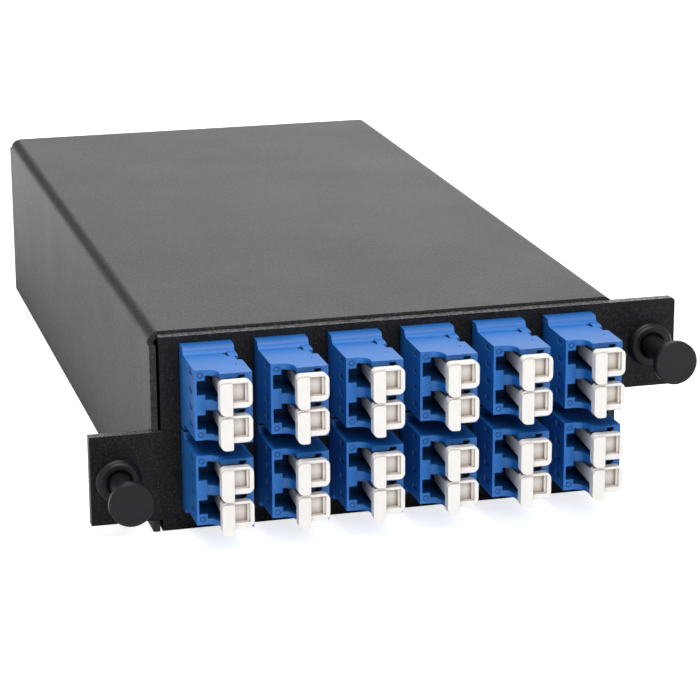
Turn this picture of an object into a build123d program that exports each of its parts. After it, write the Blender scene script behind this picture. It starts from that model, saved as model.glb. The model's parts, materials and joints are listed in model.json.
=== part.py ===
"""Fibre breakout cassette with twelve duplex adapters, millimetres, +Z up.

The origin is the middle of the tray's flat underside. The front wall, its ears and the
adapters face -Y, and the multi-fibre adapters face +Y.
"""
from build123d import *
import os

os.makedirs("parts", exist_ok=True)

# Housing
depth = 177.0  # front face of the front wall to the back of the cover's lip
tray_sheet = 2.0
cover_sheet = 1.2
cover_rise = 0.6  # cover's top above the front wall
side_margin = 5.35  # outer adapter to the cover's outside
top_margin = 2.61  # upper adapters to the front wall's top
bottom_margin = 5.45  # lower adapters to the tray's underside
sheet_gap = 0.5  # between the cover's sides and the tray
edge_gap = 0.2  # cover's front edge behind the front wall
side_setback = 0.3  # cover's sides behind the front wall's front face
lip_gap = 0.1  # cover's lip behind the rear wall
tray_bend = 0.3  # inside radius of the tray's bends
front_fold = 0.5  # outside radius of the front wall's fold
cover_bend = 1.0  # inside radius of the cover's bends
lip_height = 10.0
flange_height = 10.0
flange_setback = 6.0  # side flanges start and end this far from the tray's walls
rear_wall_drop = 0.6  # rear wall's top below the cover

# Ears with their plungers
ear_foot = 2.3  # left ear's lower edge above the tray's underside
ear_height = 16.7
ear_hole_gap = 6.3  # hole's middle to the cover's outside
ear_margin = 5.0  # hole's middle to the ear's end
ear_corner = 0.7
barrel_radius = 3.1
barrel_length = 10.0
barrel_gap = 0.1
barrel_bead = 0.3
bead_length = 1.0
tip_length = 1.5  # tapered end of the barrel
slot_width = 0.8
slot_start = 3.2
collar_radius = 4.2
collar_rim = 0.7
collar_thickness = 1.9
collar_round = 1.1
mouth_round = 0.7
stem_radius = 2.0
stem_gap = 0.05
stem_tail = 7.5  # stem's end behind the ear's front face
stem_chamfer = 0.5
stem_groove = 0.25
groove_length = 1.2
groove_start = 4.0
head_radius = 4.05
head_thickness = 1.2
head_rim = 0.25
head_reach = 14.0  # head's front ahead of the ear, pulled out
head_flare = 1.3

# Adapter field
columns = 6
rows = 2
column_gap = 4.3  # between neighbouring adapters
row_gap = 0.34  # between the collars of the lower and the upper row
cutout_gap = 0.1

# Duplex adapter, seen from the front
port_pitch = 6.25
connector_size = 4.5
port_gap = 0.1
right_wall = 1.4
latch_wall = 0.4
latch_slot_width = 1.5
latch_slot_height = 2.6
band_width = 1.3
band_height = 4.4
adapter_height = 12.8
collar_step = 1.25
collar_depth = 2.8
ramp_depth = 1.0
ramp_sag = 0.22
face_reach = 13.0
nose_reach = 16.2
nose_side = 3.85
cove_radius = 2.1
nose_overhang = 0.25
shoulder_reach = 8.5
shoulder_round = 0.5
waist_reach = 6.2
waist_cut = 0.7
pad_width = 1.6
pad_height = 0.2
pad_reach = 5.4
mark_width = 0.4
mark_depth = 0.4
dot_radius = 0.22
dot_inset = 1.7
dot_reach = 11.1
pin_radius = 0.55
pin_ring = 0.2
pin_inset = 1.0
pin_depth = 0.18
notch_width = 1.25
notch_height = 0.55
notch_depth = 1.2
notch_inset = 1.3
window_length = 2.5
window_height = 1.0
window_depth = 0.25
window_reach = 9.6
window_offsets = (2.1, -1.1)
adapter_tail = 19.8
pocket_depth = 11.0
sleeve_radius = 1.3
clip_sheet = 0.3
clip_length = 6.0
clip_open = 2.0

# Dust plug
plug_gap = 0.1  # between the handles of neighbouring plugs
handle_width = 5.75
handle_shift = 0.32  # handle's middle to the right of the port's axis
handle_drop = 3.2  # handle's bottom below the port's axis
ring_height = 4.85
ring_thickness = 1.5
ring_round = 1.1
ring_left_round = 0.8
block_width = 2.25
block_height = 5.75
block_thickness = 1.8
block_round = 1.1
block_corner = 0.3
handle_gap = 2.3  # handle's back ahead of the nose
pocket_width = 2.75
pocket_height = 3.45
pocket_wall = 0.45
finger_pocket_depth = 0.85
step_width = 0.45
step_depth = 0.35
step_rise = 0.15
neck_size = 2.9
flare_length = 2.4
flare_rise = 0.35
flare_top_rise = 1.0
flare_sag = 0.15
shaft_end = 9.2
shaft_tip_size = 2.3
shaft_pin_radius = 1.1
shaft_pin_length = 1.4
fin_start = 6.0
fin_thickness = 0.8
fin_slope = 0.6

# Small connectors, fan and trunk
insertion = 10.4
connector_tail = 7.5
ferrule_radius = 0.62
ferrule_length = 3.0
latch_height = 2.3
latch_thickness = 0.7
latch_rise = 1.1
latch_reach = 4.0
latch_foot = 6.7  # latch's root ahead of the adapter's rear face
crimp_radius = 1.7
crimp_length = 2.5
boot_radius = 1.6
boot_tip_radius = 0.9
boot_length = 12.0
fibre_radius = 0.45
fibre_lead = 8.0  # straight run at each end
fibre_bend = 8.0
fanout_front = -8.0
fanout_width = 11.0
fanout_length = 22.0
fanout_height = 9.0
fanout_pitch = 1.9
fanout_round = 1.0
trunk_radius = 1.5
trunk_lead = 8.0
trunk_bend = 10.0

# Multi-fibre adapter, connector and cap
mpo_height = 14.0
mpo_body_width = 12.8
mpo_body_height = 9.2
mpo_out = 9.0
mpo_in = 13.0
mpo_flange_width = 22.0
mpo_flange_height = 9.6
mpo_flange = 1.6
mpo_corner = 1.0
mpo_screw_reach = 9.0
mpo_plug_width = 9.9
mpo_plug_height = 6.3
mpo_gap = 0.1
mpo_cavity = 9.0
key_width = 2.6
key_height = 0.7
ferrule_width = 6.4
ferrule_height = 2.5
mpo_insertion = 8.6
ferrule_reach = 1.5
sleeve_width = 12.2
sleeve_height = 7.8
sleeve_length = 16.0
sleeve_corner = 1.0
sleeve_gap = 0.3
mpo_boot_radius = 2.9
mpo_boot_length = 10.0
boot_wall = 0.5
cap_width = 12.4
cap_height = 8.8
cap_length = 7.0
cap_corner = 1.2
cap_insertion = 8.0
cap_gap = 0.3
rib_count = 3
rib_pitch = 1.6
rib_width = 0.7
rib_depth = 0.4

# Screws
cover_screw_radius = 1.5
cover_screw_length = 5.0
cover_head_radius = 2.8
cover_head_height = 1.7
mpo_screw_radius = 1.1
mpo_screw_length = 5.0
mpo_head_radius = 1.9
mpo_head_height = 1.3
screw_gap = 0.1
recess_width = 0.6
recess_depth = 0.7
recess_inset = 0.9
head_round = 0.6

# Places that follow from the sizes above
front = -depth / 2
rear = depth / 2
wall_rear = rear - cover_sheet - lip_gap
port_size = connector_size + 2 * port_gap
adapter_width = latch_wall + latch_slot_width + band_width + port_size + right_wall
column_pitch = adapter_width + column_gap
row_pitch = adapter_height + 2 * collar_step + row_gap
field_width = (columns - 1) * column_pitch + adapter_width
field_height = (rows - 1) * row_pitch + adapter_height
field_middle = bottom_margin + field_height / 2
front_wall_height = bottom_margin + field_height + top_margin
cover_height = front_wall_height + cover_rise
cover_half_width = field_width / 2 + side_margin
ear_hole_reach = cover_half_width + ear_hole_gap
ear_reach = ear_hole_reach + ear_margin
cover_inside = cover_half_width - cover_sheet
tray_half_width = cover_inside - sheet_gap
rear_wall_height = cover_height - cover_sheet - rear_wall_drop
bend_outside = tray_sheet + tray_bend
adapter_left = -adapter_width / 2
adapter_right = adapter_width / 2
port_left = adapter_left + latch_wall + latch_slot_width + band_width
port_x = port_left + port_size / 2
column_xs = [(i - (columns - 1) / 2) * column_pitch for i in range(columns)]
row_zs = [field_middle + (j - (rows - 1) / 2) * row_pitch for j in range(rows)]
port_zs = (-port_pitch / 2, port_pitch / 2)
adapter_spots = [(x, z) for z in row_zs for x in column_xs]
left_columns = column_xs[: columns // 2]
right_columns = column_xs[columns // 2 :]
side_reach = sum(right_columns) / len(right_columns)
cover_screw_reaches = (column_xs[0], 0, column_xs[-1])
ear_holes = {
    "left": (-ear_hole_reach, ear_foot + ear_height / 2),
    "right": (ear_hole_reach, front_wall_height - ear_height / 2),
}
lip_screw_height = cover_height - cover_sheet - lip_height / 2


def save(part, name):
    """Give a finished piece its name and write it."""
    part.label = name
    export_step(part, f"parts/{name}.step")


def round_cable(start, end, lead, bend, radius):
    """Round cable that leaves start and enters end along Y."""
    turn = (start[0], start[1] + lead, start[2])
    back = (end[0], end[1] - lead, end[2])
    with BuildPart() as cable:
        with BuildLine() as route:
            FilletPolyline(start, turn, back, end, radius=bend)
        with BuildSketch(Plane(origin=start, z_dir=(0, 1, 0))):
            Circle(radius)
        sweep(path=route.wire())
    return cable.part


# Base tray: front wall, floor and rear wall are one folded strip, with side flanges
with BuildPart() as base_tray:
    with BuildSketch(Plane.YZ.offset(-tray_half_width)):
        with BuildLine():
            Polyline(
                (front, front_wall_height),
                (front, 0),
                (wall_rear, 0),
                (wall_rear, rear_wall_height),
                (wall_rear - tray_sheet, rear_wall_height),
                (wall_rear - tray_sheet, tray_sheet),
                (front + tray_sheet, tray_sheet),
                (front + tray_sheet, front_wall_height),
                close=True,
            )
        make_face()
    extrude(amount=2 * tray_half_width)
    across = base_tray.edges().filter_by(Axis.X)
    folds = across.group_by(Axis.Z)[0].sort_by(Axis.Y)
    fillet(folds[0], radius=front_fold)
    fillet(folds[-1], radius=bend_outside)
    inside = base_tray.edges().filter_by(Axis.X).filter_by_position(
        Axis.Z, tray_sheet - tray_bend / 2, tray_sheet + tray_bend / 2
    )
    fillet(inside, radius=tray_bend)
    with BuildSketch(Plane.XZ.offset(-front)):
        with Locations((-tray_half_width, ear_foot)):
            Rectangle(ear_reach - tray_half_width, ear_height, align=(Align.MAX, Align.MIN))
        with Locations((tray_half_width, front_wall_height)):
            Rectangle(ear_reach - tray_half_width, ear_height, align=(Align.MIN, Align.MAX))
    extrude(amount=-tray_sheet)
    corner = base_tray.edges().filter_by(Axis.Y).sort_by(Axis.X)[-2:].sort_by(Axis.Z)[-1]
    fillet(corner, radius=ear_corner)
    flange_start = front + tray_sheet + flange_setback
    flange_end = wall_rear - tray_sheet - flange_setback
    for side in (-1, 1):
        with BuildSketch(Plane.XZ.offset(-flange_start)):
            with Locations((side * (tray_half_width - tray_sheet / 2), 0)):
                Rectangle(tray_sheet, flange_height, align=(Align.CENTER, Align.MIN))
        extrude(amount=-(flange_end - flange_start))
    with BuildSketch(Plane.XZ.offset(-front)):
        with Locations(*adapter_spots):
            Rectangle(adapter_width + 2 * cutout_gap, adapter_height + 2 * cutout_gap)
        with Locations(*ear_holes.values()):
            Circle(barrel_radius + barrel_gap)
    extrude(amount=-tray_sheet, mode=Mode.SUBTRACT)
    with BuildSketch(Plane.XZ.offset(-wall_rear)):
        with Locations((-side_reach, mpo_height), (side_reach, mpo_height)):
            Rectangle(mpo_body_width + 2 * cutout_gap, mpo_body_height + 2 * cutout_gap)
            with Locations((-mpo_screw_reach, 0), (mpo_screw_reach, 0)):
                Circle(mpo_screw_radius + screw_gap)
        with Locations(*[(x, lip_screw_height) for x in cover_screw_reaches]):
            Circle(cover_screw_radius + screw_gap)
    extrude(amount=tray_sheet, mode=Mode.SUBTRACT)
save(base_tray.part, "base_tray")

# Cover: top and sides folded from one sheet, with a lip folded down at the rear
lip_bend = cover_sheet + cover_bend
tab_reach = cover_half_width - cover_sheet / 2
front_tabs = (
    (-tab_reach, 0, ear_foot - edge_gap),
    (-tab_reach, ear_foot + ear_height + edge_gap, cover_height - lip_bend),
    (tab_reach, 0, front_wall_height - ear_height - edge_gap),
)
with BuildPart() as cover:
    with BuildSketch(Plane.XZ.offset(-(front + tray_sheet + edge_gap))):
        with BuildLine():
            Polyline(
                (-cover_half_width, 0),
                (-cover_half_width, cover_height),
                (cover_half_width, cover_height),
                (cover_half_width, 0),
                (cover_inside, 0),
                (cover_inside, cover_height - cover_sheet),
                (-cover_inside, cover_height - cover_sheet),
                (-cover_inside, 0),
                close=True,
            )
        make_face()
    extrude(amount=-(rear - lip_bend - front - tray_sheet - edge_gap))
    along = cover.edges().filter_by(Axis.Y)
    fillet(along.filter_by_position(Axis.Z, cover_height, cover_height), radius=lip_bend)
    under = cover_height - cover_sheet
    fillet(cover.edges().filter_by(Axis.Y).filter_by_position(Axis.Z, under, under), radius=cover_bend)
    with BuildSketch(Plane.YZ.offset(-(cover_half_width - lip_bend))):
        with BuildLine():
            Line((rear - lip_bend, cover_height), (rear - lip_bend, under))
            CenterArc((rear - lip_bend, cover_height - lip_bend), cover_bend, 0, 90)
            Line((rear - cover_sheet, cover_height - lip_bend), (rear - cover_sheet, under - lip_height))
            Line((rear - cover_sheet, under - lip_height), (rear, under - lip_height))
            Line((rear, under - lip_height), (rear, cover_height - lip_bend))
            CenterArc((rear - lip_bend, cover_height - lip_bend), lip_bend, 0, 90)
        make_face()
    extrude(amount=2 * (cover_half_width - lip_bend))
    for side in (-1, 1):
        with BuildSketch(Plane.XZ.offset(-(rear - lip_bend))):
            with Locations((side * (cover_half_width - cover_sheet / 2), 0)):
                Rectangle(cover_sheet, cover_height - lip_bend, align=(Align.CENTER, Align.MIN))
        extrude(amount=-lip_bend)
    with BuildSketch(Plane.XZ.offset(-rear)):
        with Locations(*[(x, lip_screw_height) for x in cover_screw_reaches]):
            Circle(cover_screw_radius + screw_gap)
    extrude(amount=cover_sheet, mode=Mode.SUBTRACT)
    with BuildSketch(Plane.XZ.offset(-(front + side_setback))):
        for x, low, high in front_tabs:
            with Locations((x, low)):
                Rectangle(cover_sheet, high - low, align=(Align.CENTER, Align.MIN))
    extrude(amount=-(tray_sheet + edge_gap - side_setback))
save(cover.part, "cover")

# Duplex adapter, about its own middle, with y = 0 at the front wall's front face
half_height = adapter_height / 2
collar_half = half_height + collar_step
nose_left = adapter_left + nose_side
nose_right = adapter_right + nose_overhang
with BuildPart() as adapter:
    with BuildSketch(Plane.XY.offset(-half_height)):
        with BuildLine():
            Line((adapter_left, adapter_tail), (adapter_left, -face_reach))
            Line((adapter_left, -face_reach), (nose_left - cove_radius, -face_reach))
            CenterArc((nose_left - cove_radius, -face_reach - cove_radius), cove_radius, 90, -90)
            Line((nose_left, -face_reach - cove_radius), (nose_left, -nose_reach))
            Line((nose_left, -nose_reach), (nose_right, -nose_reach))
            Line((nose_right, -nose_reach), (nose_right, -shoulder_reach - shoulder_round))
            CenterArc(
                (nose_right - shoulder_round, -shoulder_reach - shoulder_round), shoulder_round, 0, 90
            )
            Polyline(
                (nose_right - shoulder_round, -shoulder_reach),
                (adapter_right - waist_cut, -shoulder_reach),
                (adapter_right - waist_cut, -waist_reach),
                (adapter_right, -waist_reach),
                (adapter_right, adapter_tail),
                (adapter_left, adapter_tail),
            )
        make_face()
    extrude(amount=adapter_height)
    with BuildSketch(Plane.YZ.offset(adapter_left)):
        with BuildLine():
            Line((0, -collar_half), (0, collar_half))
            Line((0, collar_half), (-collar_depth, collar_half))
            SagittaArc((-collar_depth, collar_half), (-collar_depth - ramp_depth, half_height), ramp_sag)
            Line((-collar_depth - ramp_depth, half_height), (-collar_depth - ramp_depth, -half_height))
            SagittaArc((-collar_depth - ramp_depth, -half_height), (-collar_depth, -collar_half), ramp_sag)
            Line((-collar_depth, -collar_half), (0, -collar_half))
        make_face()
    extrude(amount=adapter_width)
    with BuildSketch(Plane.YZ.offset(adapter_right - pad_width)):
        for side in (-1, 1):
            with BuildLine():
                Polyline(
                    (-collar_depth, side * half_height),
                    (-collar_depth, side * (half_height + pad_height)),
                    (-pad_reach, side * (half_height + pad_height)),
                    (-waist_reach, side * half_height),
                    close=True,
                )
            make_face()
    extrude(amount=pad_width)
    mark_right = adapter_right - pad_width
    for side in (-1, 1):
        with BuildSketch(Plane.XY.offset(side * half_height)):
            with BuildLine():
                Polyline(
                    (mark_right - 2 * mark_width, -collar_depth - ramp_depth),
                    (mark_right, -collar_depth - ramp_depth),
                    (mark_right + mark_width, -waist_reach),
                    (mark_right - mark_width / 2, -waist_reach + mark_width),
                    close=True,
                )
            make_face()
            with Locations((nose_right - dot_inset, -dot_reach)):
                Circle(dot_radius)
        extrude(amount=-side * mark_depth, mode=Mode.SUBTRACT)
    for reach, away in ((nose_reach, -1), (-adapter_tail, 1)):
        with BuildSketch(Plane.XZ.offset(reach)):
            with Locations(*[(port_left, z) for z in port_zs]):
                Rectangle(port_size, port_size, align=(Align.MIN, Align.CENTER))
                Rectangle(band_width, band_height, align=(Align.MAX, Align.CENTER))
            with Locations(*[(port_left - band_width, z) for z in port_zs]):
                Rectangle(latch_slot_width, latch_slot_height, align=(Align.MAX, Align.CENTER))
        extrude(amount=away * pocket_depth, mode=Mode.SUBTRACT)
    with BuildSketch(Plane.XZ.offset(nose_reach)):
        with Locations(*[(port_x, z) for z in port_zs]):
            Circle(sleeve_radius)
    extrude(amount=-(nose_reach + adapter_tail), mode=Mode.SUBTRACT)
    with BuildSketch(Plane.XZ.offset(nose_reach)):
        with Locations(*[(nose_right - notch_inset, z + port_size / 2) for z in port_zs]):
            Rectangle(notch_width, notch_height, align=(Align.MAX, Align.MIN))
    extrude(amount=-notch_depth, mode=Mode.SUBTRACT)
    with BuildSketch(Plane.XZ.offset(face_reach)):
        with Locations(*[(adapter_left + pin_inset, s * (half_height - pin_inset)) for s in (-1, 1)]):
            Circle(pin_radius)
            Circle(pin_radius - pin_ring, mode=Mode.SUBTRACT)
    extrude(amount=-pin_depth, mode=Mode.SUBTRACT)
    with BuildSketch(Plane.YZ.offset(adapter_left)):
        with Locations(*[(-window_reach, z + shift) for z in port_zs for shift in window_offsets]):
            Rectangle(window_length, window_height)
    extrude(amount=window_depth, mode=Mode.SUBTRACT)
for n, (x, z) in enumerate(adapter_spots, 1):
    save(Pos(x, front, z) * adapter.part, f"lc_adapter_{n}")

# Spring clips: a bent strip round three sides of each adapter, behind the front wall
with BuildPart() as clip:
    with BuildSketch(Plane.XZ.offset(-tray_sheet)):
        with Locations((adapter_left - clip_sheet, 0)):
            Rectangle(
                adapter_width - clip_open + clip_sheet,
                adapter_height + 2 * clip_sheet,
                align=(Align.MIN, Align.CENTER),
            )
        with Locations((adapter_left, 0)):
            Rectangle(adapter_width, adapter_height, align=(Align.MIN, Align.CENTER), mode=Mode.SUBTRACT)
    extrude(amount=-clip_length)
with BuildPart() as adapter_clips:
    with Locations(*[(x, front, z) for x, z in adapter_spots]):
        add(clip.part)
save(adapter_clips.part, "adapter_clips")

# Dust plug about its port's axis, with y = 0 at the adapter's nose
handle_left = handle_shift - handle_width / 2
handle_right = handle_shift + handle_width / 2
handle_top = port_pitch - plug_gap - handle_drop
pocket_left = handle_left + block_width
neck_half = neck_size / 2
tip_half = shaft_tip_size / 2
flare_end = flare_length - handle_gap
fin_reach = connector_size / 2


def shaft_half(rise):
    """Half of the shaft's outline, flared by rise at the handle's back."""
    with BuildLine() as half:
        SagittaArc((neck_half + rise, -handle_gap), (neck_half, flare_end), -flare_sag)
        Polyline(
            (neck_half, flare_end),
            (tip_half, shaft_end),
            (0, shaft_end),
            (0, -handle_gap),
            (neck_half + rise, -handle_gap),
        )
    return half.line


def fin_half():
    """Outline of a guide fin on one side of the shaft."""
    with BuildLine() as half:
        Polyline(
            (0, fin_start),
            (tip_half, fin_start),
            (fin_reach, fin_start + fin_slope),
            (fin_reach, shaft_end - fin_slope),
            (tip_half, shaft_end),
            (0, shaft_end),
            close=True,
        )
    return half.line


upright = Plane(origin=(0, 0, 0), x_dir=(0, 0, 1), z_dir=(-1, 0, 0))
with BuildPart() as shaft:
    with BuildSketch(Plane.XY):
        add(make_face(shaft_half(flare_rise), mode=Mode.PRIVATE))
        mirror(about=Plane.YZ)
    extrude(amount=handle_drop, both=True)
    with BuildSketch(upright):
        add(make_face(shaft_half(flare_rise), mode=Mode.PRIVATE))
        mirror(about=Plane.YZ)
        add(make_face(shaft_half(flare_top_rise), mode=Mode.PRIVATE))
    extrude(amount=handle_drop, both=True, mode=Mode.INTERSECT)
    with BuildSketch(Plane.XY):
        add(make_face(fin_half(), mode=Mode.PRIVATE))
    extrude(amount=fin_thickness / 2, both=True)
    with BuildSketch(upright):
        add(make_face(fin_half(), mode=Mode.PRIVATE))
        mirror(about=Plane.YZ)
    extrude(amount=fin_thickness / 2, both=True)
    with BuildSketch(Plane.XZ.offset(-shaft_end)):
        Circle(shaft_pin_radius)
    extrude(amount=-shaft_pin_length)
with BuildPart() as plug:
    with BuildSketch(Plane.XZ.offset(handle_gap)):
        with Locations((handle_shift, handle_top)):
            Rectangle(handle_width, ring_height, align=(Align.CENTER, Align.MAX))
        fillet(vertices().group_by(Axis.X)[-1], radius=ring_round)
        fillet(vertices().group_by(Axis.X)[0].sort_by(Axis.Y)[-1], radius=ring_left_round)
    extrude(amount=ring_thickness)
    with BuildSketch(Plane.XZ.offset(handle_gap)):
        with Locations((handle_left, -handle_drop)):
            Rectangle(block_width, block_height, align=(Align.MIN, Align.MIN))
        fillet(vertices().group_by(Axis.X)[0].sort_by(Axis.Y)[-1], radius=ring_left_round)
        fillet(vertices().group_by(Axis.X)[0].sort_by(Axis.Y)[0], radius=block_round)
        fillet(vertices().group_by(Axis.X)[-1], radius=block_corner)
    extrude(amount=block_thickness)
    add(shaft.part)
    with BuildSketch(Plane.XZ.offset(handle_gap + ring_thickness)):
        with Locations((pocket_left, handle_top - pocket_wall)):
            Rectangle(pocket_width, pocket_height, align=(Align.MIN, Align.MAX))
    extrude(amount=-step_depth, mode=Mode.SUBTRACT)
    with BuildSketch(Plane.XZ.offset(handle_gap + ring_thickness - step_depth)):
        with Locations((pocket_left, handle_top - pocket_wall)):
            Rectangle(pocket_width - step_width, pocket_height - step_rise, align=(Align.MIN, Align.MAX))
    extrude(amount=-finger_pocket_depth, mode=Mode.SUBTRACT)
plug_spots = [(x + port_x, z + dz) for x, z in adapter_spots for dz in port_zs]
for n, (x, z) in enumerate(plug_spots, 1):
    save(Pos(x, front - nose_reach, z) * plug.part, f"dust_plug_{n}")

# Grommet in an ear's hole, with y = 0 at the ear's front face
bore_radius = stem_radius + stem_gap
bead_start = tray_sheet + barrel_gap
with BuildPart() as grommet:
    with BuildSketch(Plane.XY):
        with BuildLine():
            Line((bore_radius, barrel_length), (bore_radius, mouth_round - collar_thickness))
            CenterArc(
                (bore_radius + mouth_round, mouth_round - collar_thickness), mouth_round, 180, 90
            )
            Line(
                (bore_radius + mouth_round, -collar_thickness),
                (collar_radius - collar_round, -collar_thickness),
            )
            CenterArc(
                (collar_radius - collar_round, collar_round - collar_thickness), collar_round, 270, 90
            )
            Polyline(
                (collar_radius, collar_round - collar_thickness),
                (collar_radius, 0),
                (barrel_radius, 0),
                (barrel_radius, bead_start),
                (barrel_radius + barrel_bead, bead_start),
                (barrel_radius + barrel_bead, bead_start + bead_length),
                (barrel_radius, bead_start + 2 * bead_length),
                (barrel_radius, barrel_length - tip_length),
                (barrel_radius - barrel_bead, barrel_length),
                (bore_radius, barrel_length),
            )
        make_face()
    revolve(axis=Axis.Y)
    with BuildSketch(Plane.XZ.offset(-slot_start)):
        Rectangle(2 * collar_radius, slot_width)
        Rectangle(slot_width, 2 * collar_radius)
    extrude(amount=-(barrel_length - slot_start), mode=Mode.SUBTRACT)

# Plunger through the grommet, drawn pulled out
head_back = head_thickness - head_reach
with BuildPart() as plunger:
    with BuildSketch(Plane.XY):
        with BuildLine():
            Polyline(
                (0, stem_tail),
                (0, -head_reach),
                (head_radius - head_rim, -head_reach),
                (head_radius, head_rim - head_reach),
                (head_radius, head_back),
                (stem_radius + head_flare, head_back),
            )
            CenterArc((stem_radius + head_flare, head_back + head_flare), head_flare, 270, -90)
            Polyline(
                (stem_radius, head_back + head_flare),
                (stem_radius, groove_start),
                (stem_radius - stem_groove, groove_start + stem_groove),
                (stem_radius - stem_groove, groove_start + groove_length - stem_groove),
                (stem_radius, groove_start + groove_length),
                (stem_radius, stem_tail - stem_chamfer),
                (stem_radius - stem_chamfer, stem_tail),
                (0, stem_tail),
            )
        make_face()
    revolve(axis=Axis.Y)
for side, (x, z) in ear_holes.items():
    save(Pos(x, front, z) * grommet.part, f"grommet_{side}")
    save(Pos(x, front, z) * plunger.part, f"plunger_{side}")

# Small connector in the back of a port, with y = 0 at the adapter's rear face
connector_half = connector_size / 2
with BuildPart() as connector:
    with BuildSketch(Plane.XZ.offset(insertion)):
        Rectangle(connector_size, connector_size)
    extrude(amount=-(insertion + connector_tail))
    with BuildSketch(Plane.XZ.offset(insertion)):
        Circle(ferrule_radius)
    extrude(amount=ferrule_length)
    with BuildSketch(Plane.XY.offset(-latch_height / 2)):
        with BuildLine():
            Polyline(
                (-connector_half, -latch_foot - latch_thickness),
                (-connector_half, -latch_foot + latch_thickness),
                (-connector_half - latch_rise, latch_reach),
                (-connector_half - latch_rise - latch_thickness, latch_reach),
                close=True,
            )
        make_face()
    extrude(amount=latch_height)
    with BuildSketch(Plane.XZ.offset(-connector_tail)):
        Circle(crimp_radius)
    extrude(amount=-crimp_length)
    with BuildSketch(Plane.XZ.offset(-connector_tail - crimp_length)):
        Circle(boot_radius)
    with BuildSketch(Plane.XZ.offset(-connector_tail - crimp_length - boot_length)):
        Circle(boot_tip_radius)
    loft()
boot_end = front + adapter_tail + connector_tail + crimp_length + boot_length
fanout_middle = tray_sheet + fanout_height / 2
fanout_back = fanout_front + fanout_length
port_rows = [z + dz for z in row_zs for dz in port_zs]
sides = {"left": (-side_reach, left_columns), "right": (side_reach, right_columns)}
for side, (side_x, side_columns) in sides.items():
    spots = [(x + port_x, z) for x in side_columns for z in port_rows]
    with BuildPart() as connectors:
        with Locations(*[(x, front + adapter_tail, z) for x, z in spots]):
            add(connector.part)
    save(connectors.part, f"lc_connectors_{side}")
    with BuildPart() as fan:
        for i, x in enumerate(side_columns):
            for j, z in enumerate(port_rows):
                start = (x + port_x, boot_end, z)
                end_x = side_x + (i - (len(side_columns) - 1) / 2) * fanout_pitch
                end_z = fanout_middle + (j - (len(port_rows) - 1) / 2) * fanout_pitch
                end = (end_x, fanout_front, end_z)
                add(round_cable(start, end, fibre_lead, fibre_bend, fibre_radius))
    save(fan.part, f"fibre_fan_{side}")
    with BuildPart() as fanout:
        with BuildSketch(Plane.XZ.offset(-fanout_front)):
            with Locations((side_x, tray_sheet)):
                Rectangle(fanout_width, fanout_height, align=(Align.CENTER, Align.MIN))
            fillet(vertices().group_by(Axis.Y)[-1], radius=fanout_round)
        extrude(amount=-fanout_length)
    save(fanout.part, f"fanout_{side}")

# Multi-fibre adapter in the rear wall, with y = 0 at the wall's outer face
cavity_width = mpo_plug_width + 2 * mpo_gap
cavity_height = mpo_plug_height + 2 * mpo_gap
with BuildPart() as mpo_adapter:
    with BuildSketch(Plane.XZ.offset(mpo_in)):
        Rectangle(mpo_body_width, mpo_body_height)
    extrude(amount=-(mpo_in + mpo_out))
    with BuildSketch(Plane.XZ):
        RectangleRounded(mpo_flange_width, mpo_flange_height, mpo_corner)
        with Locations((-mpo_screw_reach, 0), (mpo_screw_reach, 0)):
            Circle(mpo_screw_radius + screw_gap, mode=Mode.SUBTRACT)
    extrude(amount=-mpo_flange)
    for end, away in ((mpo_in, -1), (-mpo_out, 1)):
        with BuildSketch(Plane.XZ.offset(end)):
            Rectangle(cavity_width, cavity_height)
            with Locations((0, cavity_height / 2)):
                Rectangle(key_width, key_height, align=(Align.CENTER, Align.MIN))
        extrude(amount=away * mpo_cavity, mode=Mode.SUBTRACT)
    with BuildSketch(Plane.XZ.offset(mpo_in)):
        Rectangle(ferrule_width + 2 * mpo_gap, ferrule_height + 2 * mpo_gap)
    extrude(amount=-(mpo_in + mpo_out), mode=Mode.SUBTRACT)

# Multi-fibre connector from inside, with y = 0 at the adapter's inner end
key_half = key_width / 2 - mpo_gap
boot_start = -sleeve_gap - sleeve_length
boot_back = boot_start - mpo_boot_length
with BuildPart() as mpo_connector:
    with BuildSketch(Plane.XZ.offset(sleeve_gap + sleeve_length)):
        RectangleRounded(sleeve_width, sleeve_height, sleeve_corner)
    extrude(amount=-sleeve_length)
    with BuildSketch(Plane.XZ.offset(sleeve_gap)):
        Rectangle(mpo_plug_width, mpo_plug_height)
        with Locations((0, mpo_plug_height / 2)):
            Rectangle(2 * key_half, key_height - mpo_gap, align=(Align.CENTER, Align.MIN))
    extrude(amount=-(sleeve_gap + mpo_insertion))
    with BuildSketch(Plane.XZ.offset(-mpo_insertion)):
        Rectangle(ferrule_width, ferrule_height)
    extrude(amount=-ferrule_reach)
    with BuildSketch(Plane.XZ.offset(-boot_start)):
        Circle(mpo_boot_radius)
    with BuildSketch(Plane.XZ.offset(-boot_back)):
        Circle(trunk_radius + boot_wall)
    loft()

# Dust cap in the multi-fibre adapter, with y = 0 at the adapter's outer end
with BuildPart() as mpo_cap:
    with BuildSketch(Plane.XZ.offset(cap_insertion)):
        Rectangle(mpo_plug_width, mpo_plug_height)
    extrude(amount=-(cap_insertion + cap_gap))
    with BuildSketch(Plane.XZ.offset(-cap_gap)):
        RectangleRounded(cap_width, cap_height, cap_corner)
    extrude(amount=-cap_length)
    with BuildSketch(Plane.XY.offset(-cap_height / 2)):
        with Locations((0, cap_gap + cap_length / 2)):
            with GridLocations(cap_width, rib_pitch, 2, rib_count):
                Rectangle(2 * rib_depth, rib_width)
    extrude(amount=cap_height, mode=Mode.SUBTRACT)

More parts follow.
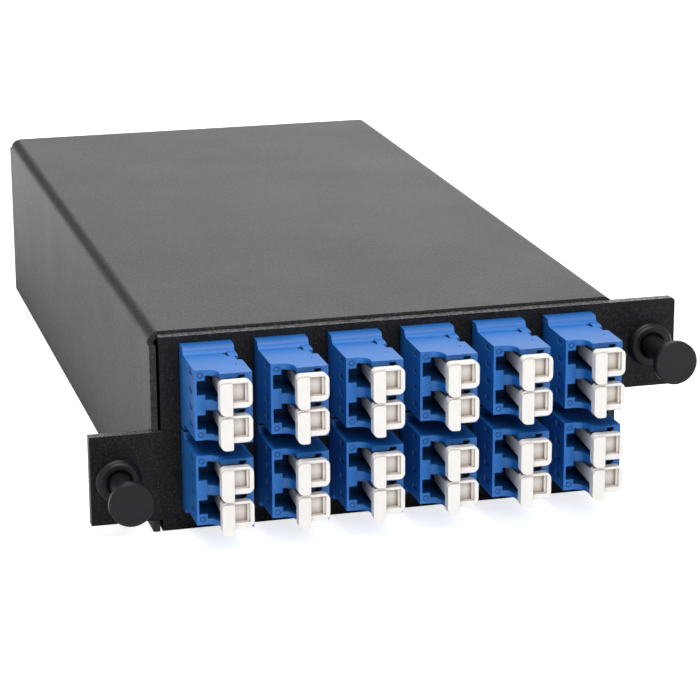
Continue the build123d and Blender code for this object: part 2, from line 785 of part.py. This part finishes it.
for side, (side_x, _) in sides.items():
    save(Pos(side_x, wall_rear, mpo_height) * mpo_adapter.part, f"mpo_adapter_{side}")
    save(Pos(side_x, wall_rear - mpo_in, mpo_height) * mpo_connector.part, f"mpo_connector_{side}")
    save(Pos(side_x, wall_rear + mpo_out, mpo_height) * mpo_cap.part, f"mpo_dust_cap_{side}")
    start = (side_x, fanout_back, fanout_middle)
    end = (side_x, wall_rear - mpo_in + boot_back, mpo_height)
    trunk = round_cable(start, end, trunk_lead, trunk_bend, trunk_radius)
    save(trunk, f"trunk_cable_{side}")


def pan_screw(radius, length, head_radius, head_height):
    """Screw with a rounded head and a cross recess, pointing to -Y, y = 0 under its head."""
    with BuildPart() as screw:
        with BuildSketch(Plane.XZ):
            Circle(radius)
        extrude(amount=length)
        with BuildSketch(Plane.XZ):
            Circle(head_radius)
        extrude(amount=-head_height)
        fillet(screw.edges().filter_by(GeomType.CIRCLE).sort_by(Axis.Y)[-1], radius=head_round)
        with BuildSketch(Plane.XZ.offset(-head_height)):
            Rectangle(2 * (head_radius - recess_inset), recess_width)
            Rectangle(recess_width, 2 * (head_radius - recess_inset))
        extrude(amount=recess_depth, mode=Mode.SUBTRACT)
    return screw.part


cover_screw = pan_screw(cover_screw_radius, cover_screw_length, cover_head_radius, cover_head_height)
with BuildPart() as cover_screws:
    with Locations(*[(x, rear, lip_screw_height) for x in cover_screw_reaches]):
        add(cover_screw)
save(cover_screws.part, "cover_screws")

mpo_screw = pan_screw(mpo_screw_radius, mpo_screw_length, mpo_head_radius, mpo_head_height)
screw_xs = [side * side_reach + end * mpo_screw_reach for side in (-1, 1) for end in (-1, 1)]
with BuildPart() as mpo_screws:
    with Locations(*[(x, wall_rear + mpo_flange, mpo_height) for x in screw_xs]):
        add(mpo_screw)
save(mpo_screws.part, "mpo_screws")
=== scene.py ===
"""Fibre breakout cassette, dressed for a studio picture.

Metres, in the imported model's frame: the origin is the middle of the tray's underside, the
adapters face -Y and +Z is up.
"""

import json
import math

import bpy
from mathutils import Matrix, Vector

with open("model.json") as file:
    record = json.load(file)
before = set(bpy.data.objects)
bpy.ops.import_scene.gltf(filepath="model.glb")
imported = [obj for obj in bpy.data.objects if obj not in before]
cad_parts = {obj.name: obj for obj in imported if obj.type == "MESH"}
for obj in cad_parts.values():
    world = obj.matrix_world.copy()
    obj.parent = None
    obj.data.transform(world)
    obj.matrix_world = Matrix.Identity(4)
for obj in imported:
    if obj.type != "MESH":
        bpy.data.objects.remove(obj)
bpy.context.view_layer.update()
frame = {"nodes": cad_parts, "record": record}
nodes = frame["nodes"]
scene = bpy.context.scene
MM = 0.001

# Camera
camera_place = Vector((-0.124366, -0.527983, 0.165151))
camera_forward = Vector((0.247003, 0.927030, -0.282145))
camera_up = Vector((0.077491, 0.271337, 0.959360))
sensor = 36.0
lens = 135.04

camera = bpy.data.objects.new("camera", bpy.data.cameras.new("camera"))
scene.collection.objects.link(camera)
camera.data.sensor_width = sensor
camera.data.lens = lens
camera.data.clip_start = 0.01
camera_right = camera_forward.cross(camera_up).normalized()
camera.matrix_world = Matrix.Translation(camera_place) @ Matrix(
    (camera_right, camera_up, -camera_forward)
).transposed().to_4x4()
scene.camera = camera


# Shader nodes
def fill(tree, socket, value):
    """Links a socket to another one, or sets it to a constant."""
    if isinstance(value, bpy.types.NodeSocket):
        tree.links.new(value, socket)
    else:
        socket.default_value = value


def new_node(tree, kind, options=None, **inputs):
    """Adds a shader node, sets its options and fills its inputs."""
    made = tree.nodes.new("ShaderNode" + kind)
    for key, value in (options or {}).items():
        setattr(made, key, value)
    for key, value in inputs.items():
        fill(tree, made.inputs[key.replace("_", " ")], value)
    return made


def calculate(tree, operation, *values, kind="Math", output=0):
    """One operation on numbers, or on vectors with kind VectorMath."""
    made = new_node(tree, kind, {"operation": operation})
    for socket, value in zip(made.inputs, values):
        fill(tree, socket, value)
    return made.outputs[output]


def new_material(name, **inputs):
    """New material; gives it with its node tree, its shader and its object coordinates."""
    made = bpy.data.materials.new(name)
    made.use_nodes = True
    tree = made.node_tree
    shader = tree.nodes["Principled BSDF"]
    for key, value in inputs.items():
        shader.inputs[key.replace("_", " ")].default_value = value
    place = new_node(tree, "TexCoord").outputs["Object"]
    return made, tree, shader, place


def ramp(tree, value, stops):
    """Colour ramp over (position, colour) stops."""
    made = tree.nodes.new("ShaderNodeValToRGB")
    tree.links.new(value, made.inputs["Fac"])
    elements = made.color_ramp.elements
    while len(elements) < len(stops):
        elements.new(0.5)
    for element, (position, color) in zip(elements, stops):
        element.position = position
        element.color = (*color, 1)
    return made.outputs["Color"]


def spread(tree, value, low, high, start=0, end=1):
    """Turns a value from start to end into one from low to high."""
    made = new_node(
        tree, "MapRange", Value=value, From_Min=start, From_Max=end, To_Min=low, To_Max=high
    )
    return made.outputs["Result"]


def noise(tree, place, size, detail=2.0):
    """Noise whose grains are about size metres across."""
    return new_node(tree, "TexNoise", Vector=place, Scale=1 / size, Detail=detail).outputs["Fac"]


def bump(tree, shader, height, distance, strength=1.0):
    made = new_node(tree, "Bump", Height=height, Distance=distance, Strength=strength)
    tree.links.new(made.outputs["Normal"], shader.inputs["Normal"])


def painted_hollow_shade(tree, tone, hollow_shade, reach):
    """Painted shade: turns tone darker, towards a shade colour, where the surface is closed in within
    reach metres.
    """
    shut = new_node(tree, "AmbientOcclusion", {"samples": 8}, Distance=reach).outputs["AO"]
    mixed = new_node(tree, "MixRGB", Fac=shut, Color1=(*hollow_shade, 1), Color2=tone)
    return mixed.outputs["Color"]


def shown(tree, mirror_share):
    """1 for the rays of the camera and through clear bodies, mirror_share for mirrored rays."""
    rays = new_node(tree, "LightPath").outputs
    mirrored = calculate(tree, "MULTIPLY", rays["Is Glossy Ray"], mirror_share)
    direct = calculate(tree, "MAXIMUM", rays["Is Camera Ray"], mirrored)
    return calculate(tree, "MAXIMUM", direct, rays["Is Transmission Ray"])


# Materials
# Paler paint for a painted sheen and highlight, laid on faces by which way they face.
sheen_paint = (0.07, 0.07, 0.072)
sheen_peak = (0.22, 0.22, 0.23)


def powder_coat(name, body, fleck, roughness, way, sheen_stops, **inputs):
    """Textured black paint: fine grains with pale flecks, and a painted sheen that makes some faces
    paler.

    The last argument gives (cosine, share) stops of the painted sheen, by how far a face looks along
    way.
    """
    made, tree, shader, place = new_material(name, **inputs)
    grain = noise(tree, place, 0.6 * MM, 3)
    flecks = noise(tree, place, 0.34 * MM, 2)
    patches = noise(tree, place, 22 * MM, 3)
    dark = tuple(0.5 * c for c in body)
    paint = ramp(tree, flecks, [(0.3, dark), (0.55, body), (0.72, fleck)])
    # Painted sheen: paler paint with flecks, mixed in on the faces that look along way.
    sheen_tone = ramp(tree, flecks, [(0.38, body), (0.5, sheen_paint), (0.62, sheen_peak)])
    normal = new_node(tree, "NewGeometry").outputs["Normal"]
    along = calculate(tree, "DOT_PRODUCT", normal, way, kind="VectorMath", output="Value")
    sheen_share = ramp(tree, along, [(stop, (amount,) * 3) for stop, amount in sheen_stops])
    paint = new_node(tree, "MixRGB", Fac=sheen_share, Color1=paint, Color2=sheen_tone).outputs["Color"]
    tree.links.new(paint, shader.inputs["Base Color"])
    soft = calculate(tree, "MULTIPLY_ADD", patches, 0.5, grain)
    tree.links.new(spread(tree, soft, *roughness), shader.inputs["Roughness"])
    bump(tree, shader, grain, 0.05 * MM)
    return made


def moulded(name, color, shade, roughness, hollow_shade=None, reach=2 * MM, **inputs):
    """Moulded plastic: a colour that drifts a little, with a finely etched surface; given a shade
    colour, it gets painted shade in its hollows.
    """
    made, tree, shader, place = new_material(name, **inputs)
    drift = noise(tree, place, 6 * MM, 3)
    etching = noise(tree, place, 0.4 * MM, 2)
    tone = ramp(tree, drift, [(0.3, shade), (0.7, color)])
    if hollow_shade:
        tone = painted_hollow_shade(tree, tone, hollow_shade, reach)
    tree.links.new(tone, shader.inputs["Base Color"])
    tree.links.new(spread(tree, drift, *roughness), shader.inputs["Roughness"])
    bump(tree, shader, etching, 0.008 * MM)
    return made


def turned_steel(name, color, scratch):
    """Bright plated steel with fine drawn marks along one way."""
    made, tree, shader, place = new_material(name, Metallic=1.0)
    stretched = new_node(tree, "Mapping", Vector=place, Scale=scratch).outputs["Vector"]
    marks = noise(tree, stretched, 1.0, 4)
    dark = tuple(0.7 * c for c in color)
    tree.links.new(ramp(tree, marks, [(0.3, dark), (0.7, color)]), shader.inputs["Base Color"])
    tree.links.new(spread(tree, marks, 0.22, 0.42), shader.inputs["Roughness"])
    bump(tree, shader, marks, 0.004 * MM)
    return made


# Tray: faces that look up get a painted sheen, paler and flecked, standing in for the bright
# reflection on the panel's top edge.
tray_coat = powder_coat(
    "tray_coat",
    (0.0062, 0.0062, 0.0072),
    (0.026, 0.026, 0.03),
    (0.28, 0.42),
    (0, 0, 1),
    [(0.45, 0), (0.95, 1)],
    IOR=1.25,
)
# Cover: the bevel along its front top edge gets a painted highlight.
cover_coat = powder_coat(
    "cover_coat",
    (0.012, 0.0115, 0.013),
    (0.055, 0.055, 0.058),
    (0.34, 0.50),
    (0, -1, 0),
    [(0.12, 0), (0.35, 1), (0.8, 1), (0.95, 0)],
    IOR=1.37,
)
# The fourth colour is painted shade: the ports and other recesses turn near-black navy.
blue = moulded(
    "blue_plastic",
    (0.013, 0.172, 0.570),
    (0.011, 0.152, 0.520),
    (0.36, 0.46),
    (0.0004, 0.0025, 0.014),
    4 * MM,
)
# The fourth colour is painted shade: pockets and other recesses turn warm beige, standing in for
# shade and light bounced inside them.
white = moulded(
    "white_plastic",
    (0.900, 0.880, 0.850),
    (0.880, 0.857, 0.822),
    (0.34, 0.46),
    (0.200, 0.110, 0.045),
    1.7 * MM,
    Subsurface_Weight=0.15,
    Subsurface_Radius=(1.0, 0.9, 0.75),
    Subsurface_Scale=1.2 * MM,
)
black = moulded(
    "black_plastic", (0.0090, 0.0088, 0.0105), (0.0070, 0.0069, 0.0080), (0.28, 0.40), IOR=1.31
)
grey = moulded("grey_plastic", (0.120, 0.125, 0.130), (0.100, 0.104, 0.110), (0.40, 0.52))
yellow = moulded("yellow_jacket", (0.850, 0.560, 0.040), (0.780, 0.480, 0.030), (0.42, 0.55))
screw_steel = turned_steel("screw_steel", (0.58, 0.58, 0.60), (400, 2500, 400))
spring_steel = turned_steel("spring_steel", (0.62, 0.62, 0.63), (3000, 300, 3000))

by_slot = {
    "powder_coat": tray_coat,
    "blue_plastic": blue,
    "white_plastic": white,
    "black_plastic": black,
    "grey_plastic": grey,
    "yellow_jacket": yellow,
    "screw_steel": screw_steel,
    "spring_steel": spring_steel,
}
for part in frame["record"]["subparts"]:
    mesh = nodes[part["node"]].data
    mesh.materials.clear()
    mesh.materials.append(by_slot[part["material_slot"]])
nodes["cover"].data.materials[0] = cover_coat


# Soft edges
weld_reach = 0.001 * MM
flat_angle = math.radians(0.5)
smooth_angle = 50


def smooth_shading(name, angle):
    """Modifier tree that shades every face smooth, but keeps edges above angle sharp."""
    tree = bpy.data.node_groups.new(name, "GeometryNodeTree")
    tree.interface.new_socket("Geometry", in_out="INPUT", socket_type="NodeSocketGeometry")
    tree.interface.new_socket("Geometry", in_out="OUTPUT", socket_type="NodeSocketGeometry")
    start = tree.nodes.new("NodeGroupInput")
    end = tree.nodes.new("NodeGroupOutput")
    faces = tree.nodes.new("GeometryNodeSetShadeSmooth")
    edges = tree.nodes.new("GeometryNodeSetShadeSmooth")
    edges.domain = "EDGE"
    bend = tree.nodes.new("GeometryNodeInputMeshEdgeAngle")
    below = tree.nodes.new("ShaderNodeMath")
    below.operation = "LESS_THAN"
    below.inputs[1].default_value = math.radians(angle)
    tree.links.new(start.outputs[0], faces.inputs["Geometry"])
    tree.links.new(faces.outputs["Geometry"], edges.inputs["Geometry"])
    tree.links.new(bend.outputs["Unsigned Angle"], below.inputs[0])
    tree.links.new(below.outputs[0], edges.inputs["Shade Smooth"])
    tree.links.new(edges.outputs["Geometry"], end.inputs[0])
    return tree


shading = smooth_shading("smooth_shading", smooth_angle)


def soften(node, width, segments=2, angle=28):
    """Rounds a node's sharp edges by width metres."""
    weld = node.modifiers.new("weld", "WELD")
    weld.merge_threshold = weld_reach
    flat = node.modifiers.new("flat", "DECIMATE")
    flat.decimate_type = "DISSOLVE"
    flat.angle_limit = flat_angle
    edge = node.modifiers.new("edge", "BEVEL")
    edge.width = width
    edge.segments = segments
    edge.angle_limit = math.radians(angle)
    edge.use_clamp_overlap = True
    node.modifiers.new("smooth", "NODES").node_group = shading
    node.modifiers.new("shade", "WEIGHTED_NORMAL").keep_sharp = True


soften(nodes["base_tray"], 0.25 * MM)
soften(nodes["cover"], 0.28 * MM, 3)
for name, node in nodes.items():
    if name.startswith("lc_adapter"):
        soften(node, 0.13 * MM)
    elif name.startswith("dust_plug"):
        soften(node, 0.25 * MM, 3)
    elif name.startswith(("mpo_dust_cap", "mpo_adapter", "fanout", "mpo_connector")):
        soften(node, 0.25 * MM)

# Floor, white to the camera. In what the object mirrors, the floor's glow is dimmed close to the box:
# painted shade standing in for the box's shadow.
floor_half = 3.0
floor_gap = 0.02 * MM
floor_tone = 0.80
floor_grain = 120 * MM
floor_lift = 0.74
half_width = 44 * MM
half_depth = 88.5 * MM
shade_reach = 115 * MM
mirror_near = 0.0
mirror_far = 1.12

corners = [(-1, -1), (1, -1), (1, 1), (-1, 1)]
floor = bpy.data.objects.new("floor", bpy.data.meshes.new("floor"))
floor.data.from_pydata(
    [(x * floor_half, y * floor_half, 0) for x, y in corners], [], [(0, 1, 2, 3)]
)
floor.location.z = -floor_gap
scene.collection.objects.link(floor)
ground, tree, shader, place = new_material("floor", Roughness=0.9, Specular_IOR_Level=0.1)
shade = ramp(
    tree, noise(tree, place, floor_grain), [(0.3, (floor_tone,) * 3), (0.7, (floor_tone * 1.02,) * 3)]
)
tree.links.new(shade, shader.inputs["Base Color"])
away = calculate(tree, "ABSOLUTE", place, kind="VectorMath")
for operation, limit in (("SUBTRACT", (half_width, half_depth, 0)), ("MAXIMUM", (0, 0, 0))):
    away = calculate(tree, operation, away, limit, kind="VectorMath")
distance = calculate(tree, "LENGTH", away, kind="VectorMath", output="Value")
mirror_share = spread(tree, distance, mirror_near, mirror_far, end=shade_reach)
lift = calculate(tree, "MULTIPLY", shown(tree, mirror_share), floor_lift)
shader.inputs["Emission Color"].default_value = (1, 1, 1, 1)
tree.links.new(lift, shader.inputs["Emission Strength"])
floor.data.materials.append(ground)

# World, white to the camera. A dark flag behind, on the left, shows in the cover's bend.
world_light = 0.27
flag_way = (-0.28, 0.93, 0.22)
flag_core = math.radians(14)
flag_reach = math.radians(30)
flag_tone = 0.0

world = bpy.data.worlds.new("studio")
world.use_nodes = True
scene.world = world
tree = world.node_tree
background = tree.nodes["Background"]
background.inputs["Color"].default_value = (1, 1, 1, 1)
way = new_node(tree, "TexCoord").outputs["Generated"]
flag_axis = Vector(flag_way).normalized()
nearness = calculate(tree, "DOT_PRODUCT", way, flag_axis, kind="VectorMath", output="Value")
mirror_share = spread(
    tree, nearness, 1, flag_tone, start=math.cos(flag_reach), end=math.cos(flag_core)
)
level = spread(tree, shown(tree, mirror_share), world_light, 1.0)
tree.links.new(level, background.inputs["Strength"])


# Lamps
def softbox(name, place, target, size, power):
    """Square area lamp that faces target."""
    lamp = bpy.data.objects.new(name, bpy.data.lights.new(name, "AREA"))
    lamp.data.size = size
    lamp.data.energy = power
    lamp.location = place
    way = Vector(target) - Vector(place)
    lamp.rotation_euler = way.to_track_quat("-Z", "Y").to_euler()
    scene.collection.objects.link(lamp)


softbox("top_lamp", (-0.15, -0.10, 0.95), (0, 0, 0), size=0.7, power=6.2)
softbox("front_lamp", (0.10, -1.15, 0.60), (0, -0.05, 0.02), size=0.6, power=7.4)
softbox("back_lamp", (0.40, 1.50, 0.50), (0, 0, 0.03), size=0.9, power=1.85)
scene.view_settings.view_transform = "Standard"
